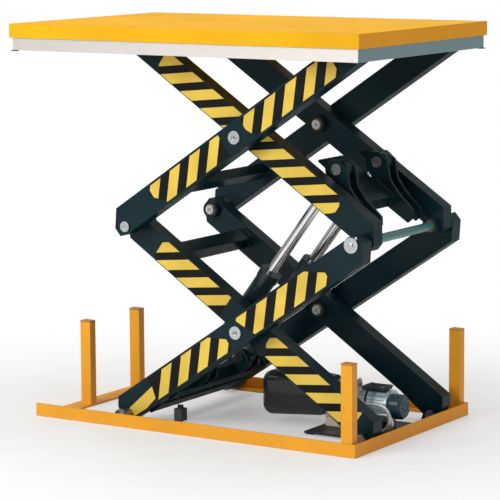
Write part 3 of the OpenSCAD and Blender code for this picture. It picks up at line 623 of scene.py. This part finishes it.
# a thin black disc with a shallow dimple, painted as the shade inside a grease hole
HOLE_SHADE_DISC = [(0, -0.0006), (0.0052, -0.0006), (0.0052, 0.0004), (0.0036, 0.0004),
        (0.0030, -0.0002), (0, -0.0002)]
END_BOLT = [(0, -0.0004), (0.0090, -0.0004), (0.0090, 0.0030), (0.0076, 0.0038), (0, 0.0038)]
LOCK_SCREW = [(0, 0), (0.0054, 0), (0.0054, 0.0035), (0.0044, 0.0044), (0, 0.0044)]
PIN_INNER_Y = 0.172

# grease nipples in the sockets of the pin heads
for name, arm, body in (("lower_centre_nipples", LOWER_OUTER, "lower_outer"),
                        ("upper_centre_nipples", UPPER_OUTER, "upper_outer")):
    turned(name, NIPPLE, pin_ends(arm, 0, 0.3222), 14, body)

# black discs in the inner ends of the hollow pins: painted shade of their grease holes
for name, arm, x, body in (("lower_centre_pin_hole_shade", LOWER_OUTER, 0, "lower_outer"),
                           ("upper_centre_pin_hole_shade", UPPER_OUTER, 0, "upper_outer"),
                           ("left_mid_pin_hole_shade", UPPER_OUTER, -HALF_ARM, "upper_outer")):
    turned(name, HOLE_SHADE_DISC, pin_ends(arm, x, -PIN_INNER_Y), 20, body, black)

turned("right_mid_end_bolts", END_BOLT, pin_ends(LOWER_OUTER, HALF_ARM, 0.323), 6,
       "lower_outer")

# ------------------------------------------------------- power pack and cables
SEAM_Z = 0.100
SEAM_END_X, SEAM_END_Y = 0.298, 0.0713
SEAM_CORNER_X, SEAM_CORNER_Y, SEAM_CORNER_RADIUS = 0.124, 0.051, 0.0343


def tank_seam():
    """Parting seam round the tank's left end, open at the right."""
    path = [(SEAM_END_X, SEAM_END_Y, SEAM_Z)]
    for i in range(41):
        turn = math.pi / 2 + math.pi * i / 40
        corner_y = SEAM_CORNER_Y if math.sin(turn) > 0 else -SEAM_CORNER_Y
        path.append((SEAM_CORNER_X + SEAM_CORNER_RADIUS * math.cos(turn),
                     corner_y + SEAM_CORNER_RADIUS * math.sin(turn), SEAM_Z))
    path.append((SEAM_END_X, -SEAM_END_Y, SEAM_Z))
    bm = bmesh.new()
    sweep(bm, path, 0.0011, sides=6)
    add_piece("tank_seam", bm, tank, "base")


tank_seam()

# crimped ferrules where the hoses leave their fittings
FERRULE_RADIUS = 0.0088
LONG_FERRULE = [(0, 0), (FERRULE_RADIUS, 0), (FERRULE_RADIUS, 0.004),
                *((FERRULE_RADIUS - 0.0009 * (i % 2), 0.005 + 0.003 * i) for i in range(6)),
                (0.0080, 0.021), (0.0064, 0.0225), (0, 0.0225)]
SHORT_FERRULE = [(0, 0), (FERRULE_RADIUS, 0), (FERRULE_RADIUS, 0.0035), (0.0074, 0.0050),
                 (0, 0.0050)]
for name, profile, z in (("long_hose_ferrule", LONG_FERRULE, 0.112),
                         ("short_hose_ferrule", SHORT_FERRULE, 0.078)):
    place = Matrix.Translation((0.356, -0.0709, z)) @ Matrix.Rotation(math.pi, 4, "Z")
    turned(name, profile, [place], 20, "base")

# radius, points the cable passes through
SWITCH_LEAD = (0.0030, [
    (-0.038, -0.3485, 0.046), (-0.036, -0.3475, 0.030), (-0.018, -0.3460, 0.013),
    (0.050, -0.3450, 0.0082), (0.180, -0.3445, 0.0082), (0.320, -0.3400, 0.0082),
    (0.480, -0.3300, 0.0082), (0.545, -0.3235, 0.0082), (0.588, -0.3160, 0.010),
    (0.604, -0.3120, 0.016)])
MOTOR_LEAD = (0.0036, [
    (0.476, -0.041, 0.141), (0.476, -0.058, 0.138), (0.475, -0.068, 0.118),
    (0.474, -0.070, 0.080), (0.476, -0.070, 0.040), (0.490, -0.070, 0.018),
    (0.530, -0.070, 0.0150), (0.570, -0.070, 0.0150), (0.592, -0.070, 0.018),
    (0.604, -0.070, 0.022)])


def smooth_path(points, steps=8):
    """Catmull-Rom curve through the points."""
    points = [Vector(p) for p in points]
    padded = [points[0] * 2 - points[1]] + points + [points[-1] * 2 - points[-2]]
    path = []
    for p0, p1, p2, p3 in zip(padded, padded[1:], padded[2:], padded[3:]):
        for k in range(steps):
            t = k / steps
            path.append(0.5 * (2 * p1 + (p2 - p0) * t + (2 * p0 - 5 * p1 + 4 * p2 - p3) * t * t
                               + (3 * p1 - p0 - 3 * p2 + p3) * t ** 3))
    path.append(points[-1])
    return path


bm = bmesh.new()
for radius, points in (SWITCH_LEAD, MOTOR_LEAD):
    sweep(bm, smooth_path(points), radius, sides=8)
add_piece("electric_cables", bm, rubber, "base")

# lock screws of the right-hand hinge shaft, beside its washers
turned("right_mid_lock_screws", LOCK_SCREW, pin_ends(LOWER_OUTER, 0.5465, 0.3171, z=0.008), 6,
       "lower_outer")

# ------------------------------------------------------------ camera and light
CAMERA_PLACE = Vector((4.28434, -6.70181, 1.71081))
YAW, PITCH, ROLL = 0.5684972, -0.1451115, -0.0057446    # radians


def add_camera():
    forward = Vector((-math.sin(YAW) * math.cos(PITCH), math.cos(YAW) * math.cos(PITCH),
                      math.sin(PITCH)))
    level = Vector((math.cos(YAW), math.sin(YAW), 0))
    upright = level.cross(forward)
    right = level * math.cos(ROLL) + upright * math.sin(ROLL)
    up = -level * math.sin(ROLL) + upright * math.cos(ROLL)
    data = bpy.data.cameras.new("camera")
    camera = link_object("camera", data)
    turn = Matrix((right, up, -forward)).transposed().to_4x4()
    camera.matrix_world = Matrix.Translation(CAMERA_PLACE) @ turn
    data.sensor_width = 36
    data.lens = 177.57144
    data.clip_start, data.clip_end = 0.1, 200
    SCENE.camera = camera


def area_light(name, place, aim, size, power):
    data = bpy.data.lights.new(name, "AREA")
    data.shape = "RECTANGLE"
    data.size, data.size_y = size
    data.energy = power
    light = link_object(name, data)
    light.location = place
    direction = Vector(aim) - Vector(place)
    light.rotation_euler = direction.to_track_quat("-Z", "Y").to_euler()
    return light


def studio_world():
    """White to the camera, dimmer as a light on the scene."""
    world = bpy.data.worlds.new("studio")
    SCENE.world = world
    world.use_nodes = True
    tree = world.node_tree
    background = tree.nodes["Background"]
    background.inputs[0].default_value = (1, 1, 1, 1)
    rays = tree.nodes.new("ShaderNodeLightPath")
    strength = tree.nodes.new("ShaderNodeMapRange")
    strength.inputs["To Min"].default_value = 0.42     # what the object sees
    strength.inputs["To Max"].default_value = 1.0      # what the camera sees
    tree.links.new(rays.outputs["Is Camera Ray"], strength.inputs[0])
    tree.links.new(strength.outputs[0], background.inputs[1])


add_camera()
area_light("key", place=(-1.6, -5.4, 3.6), aim=(0, 0, 0.6), size=(3.2, 3.2), power=215)
area_light("top", place=(0.2, 0.2, 5.2), aim=(0, 0, 0.5), size=(4.0, 4.0), power=95)
area_light("fill_right", place=(5.5, -1.0, 1.6), aim=(0, 0, 0.6), size=(2.5, 3.0), power=10)
rear = area_light("rear", place=(-1.8, 4.5, 2.6), aim=(0, 0, 0.8), size=(3.0, 2.5), power=45)
rear.visible_glossy = False
studio_world()


# ----------------------------------------------------------------------- floor
def floor_material():
    """Faintly grained floor that fades to white and is clear from below."""
    mat = Shader("pale_floor")
    grain = mat.noise(mat.coords(), scale=8, detail=5, rough=0.6)
    mat.surface({
        "Base Color": mat.mix(mat.remap(grain, span=(0.3, 0.7)),
                              (0.90, 0.90, 0.895), (0.93, 0.93, 0.925)),
        "Roughness": 0.9,
        "Specular IOR Level": 0.1})
    white = mat.add("Emission", {0: (1, 1, 1, 1)})
    geometry = mat.add("NewGeometry")
    reach = mat.add("VectorMath", {0: geometry.outputs["Position"]}, operation="LENGTH")
    fade = mat.remap(reach.outputs["Value"], span=(0.75, 1.9), to=(0.30, 1.0))
    seen = mat.mul(fade, mat.add("LightPath").outputs["Is Camera Ray"])
    top = mat.add("MixShader", {0: seen, 1: mat.bsdf.outputs[0], 2: white.outputs[0]})
    clear = mat.add("BsdfTransparent")
    both = mat.add("MixShader", {0: geometry.outputs["Backfacing"], 1: top.outputs[0],
                                 2: clear.outputs[0]})
    mat.feed(mat.output.inputs[0], both.outputs[0])
    return mat.material


def add_floor():
    """Flat sheet just below z = 0, so that it doesn't touch the base."""
    bm = bmesh.new()
    rows = [[bm.verts.new((x, -14 + 26 * (j / 12), 0)) for x in (-14, 0, 14)]
            for j in range(13)]
    for near, far in zip(rows, rows[1:]):
        for i in range(2):
            bm.faces.new((near[i], near[i + 1], far[i + 1], far[i]))
    mesh = bpy.data.meshes.new("floor")
    bm.to_mesh(mesh)
    bm.free()
    mesh.materials.append(floor_material())
    floor = link_object("floor", mesh)
    floor.location.z = -0.0005


add_floor()
SCENE.view_settings.view_transform = "Standard"
